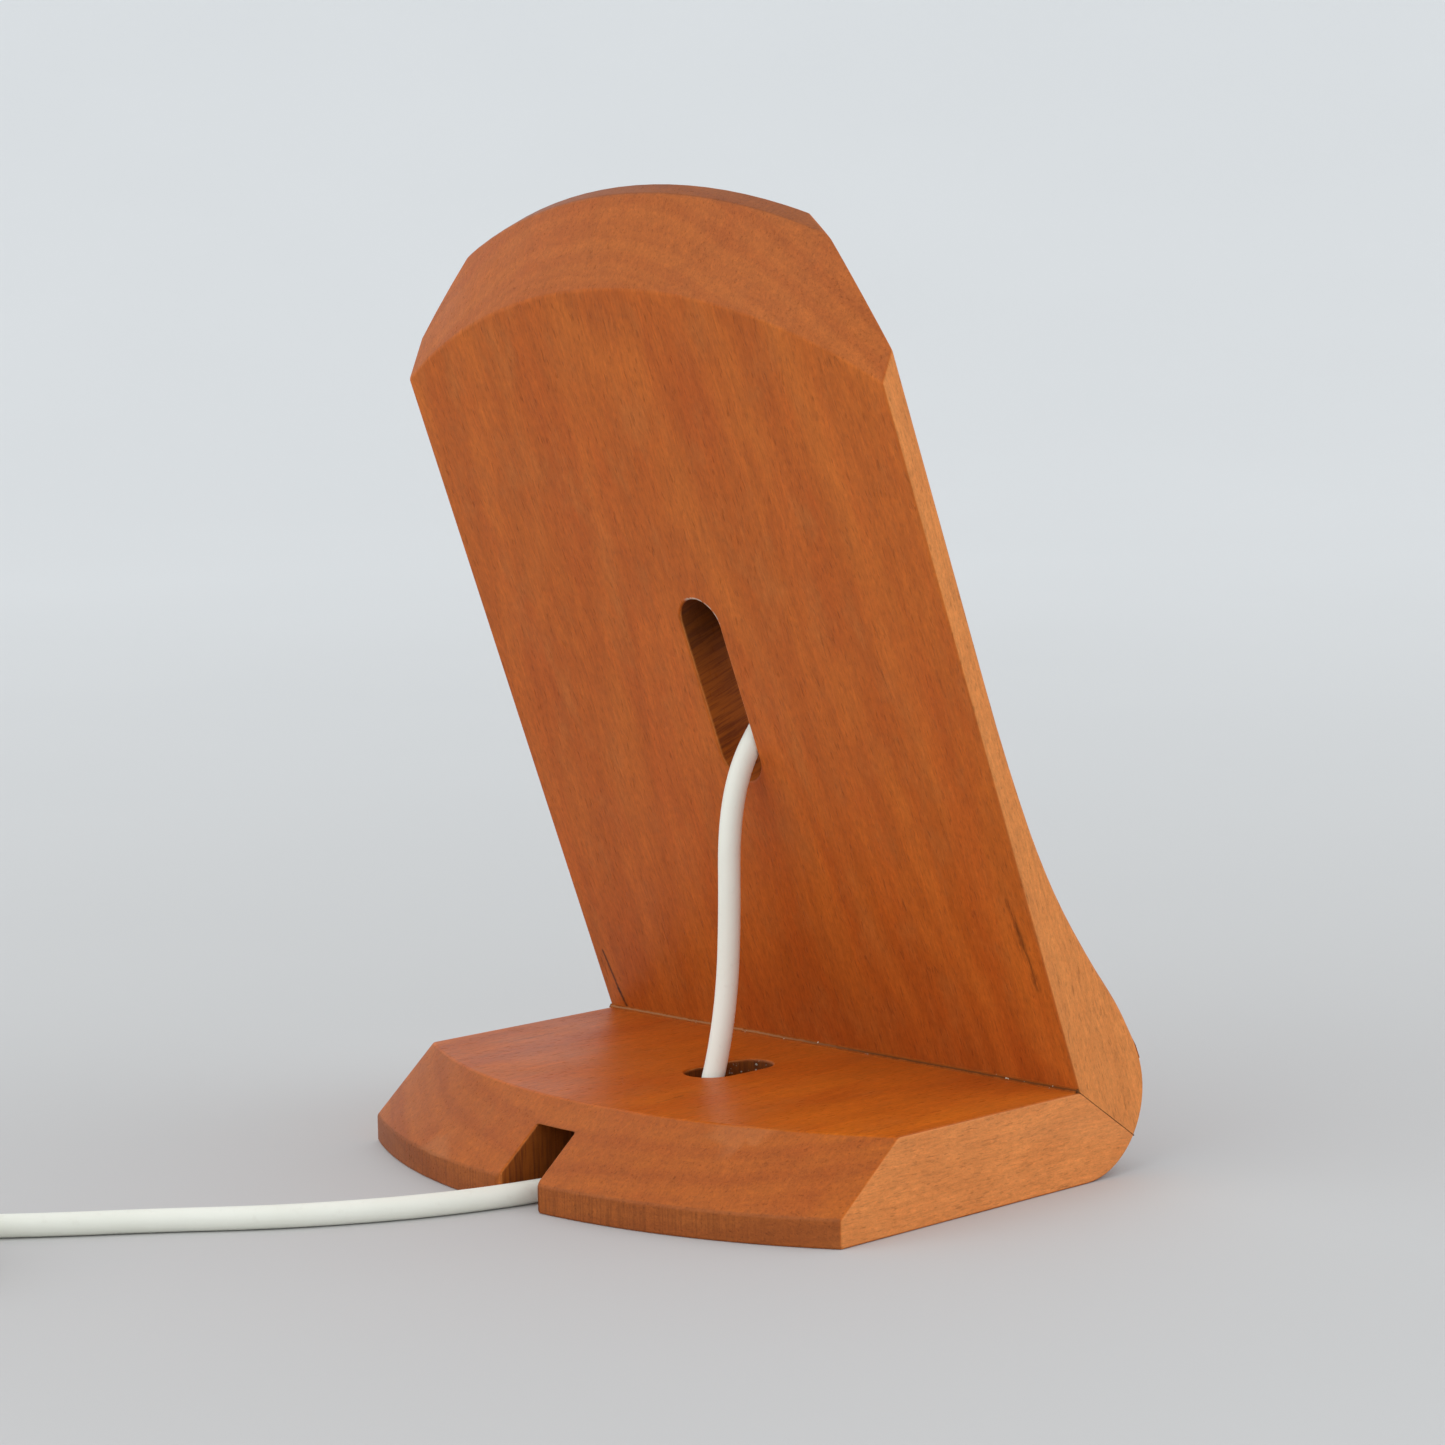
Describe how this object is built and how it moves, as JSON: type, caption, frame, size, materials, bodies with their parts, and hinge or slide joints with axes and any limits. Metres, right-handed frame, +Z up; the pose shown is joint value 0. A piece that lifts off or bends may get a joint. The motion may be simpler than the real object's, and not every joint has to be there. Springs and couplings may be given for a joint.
{
  "type": "phone stand",
  "caption": "Leaning wooden phone stand of two mitred boards with a recessed magnetic charging puck, cable slots in both boards and a white lead that runs under the base.",
  "frame": {"origin": "on the table, under the centre of the stand's own box (without the lead)", "axes": "+Z up; the phone side of the upright faces -Y; the base runs back to +Y; X is across the boards"},
  "size_m": [0.1039, 0.1832, 0.1298],
  "materials": {
    "cherry_base": "satin oiled hardwood, grain front to back",
    "cherry_upright": "satin oiled hardwood, grain up the board",
    "wood_glue": "dried wood glue",
    "dowel_beech": "unfinished beech",
    "adhesive_foam": "double-sided foam tape",
    "puck_metal": "bead-blasted",
    "puck_white": "soft-touch white",
    "magnet": "nickel plated",
    "circuit_board": "solder mask",
    "ferrite": "sintered, matte",
    "copper": "enamelled litz winding",
    "lead_white": "soft white jacket",
    "tie_grey": "woven hook-and-loop",
    "plug_white": "moulded",
    "plug_steel": "drawn shell",
    "plug_black": "moulded insert"
  },
  "bodies": {
    "root": {"base_board": "cherry_base", "upright_board": "cherry_upright", "mitre_glue": "wood_glue", "mitre_dowels": "dowel_beech", "puck_pad": "adhesive_foam", "puck_shell": "puck_metal", "puck_face": "puck_white", "puck_magnets": "magnet", "puck_circuit_board": "circuit_board", "puck_ferrite": "ferrite", "puck_coil": "copper", "lead_strain_relief": "lead_white", "lead": "lead_white", "lead_coil": "lead_white", "lead_tail": "lead_white", "lead_tie": "tie_grey", "plug_boot": "lead_white", "plug_housing": "plug_white", "plug_shell": "plug_steel", "plug_insert": "plug_black"}
  },
  "joints": []
}
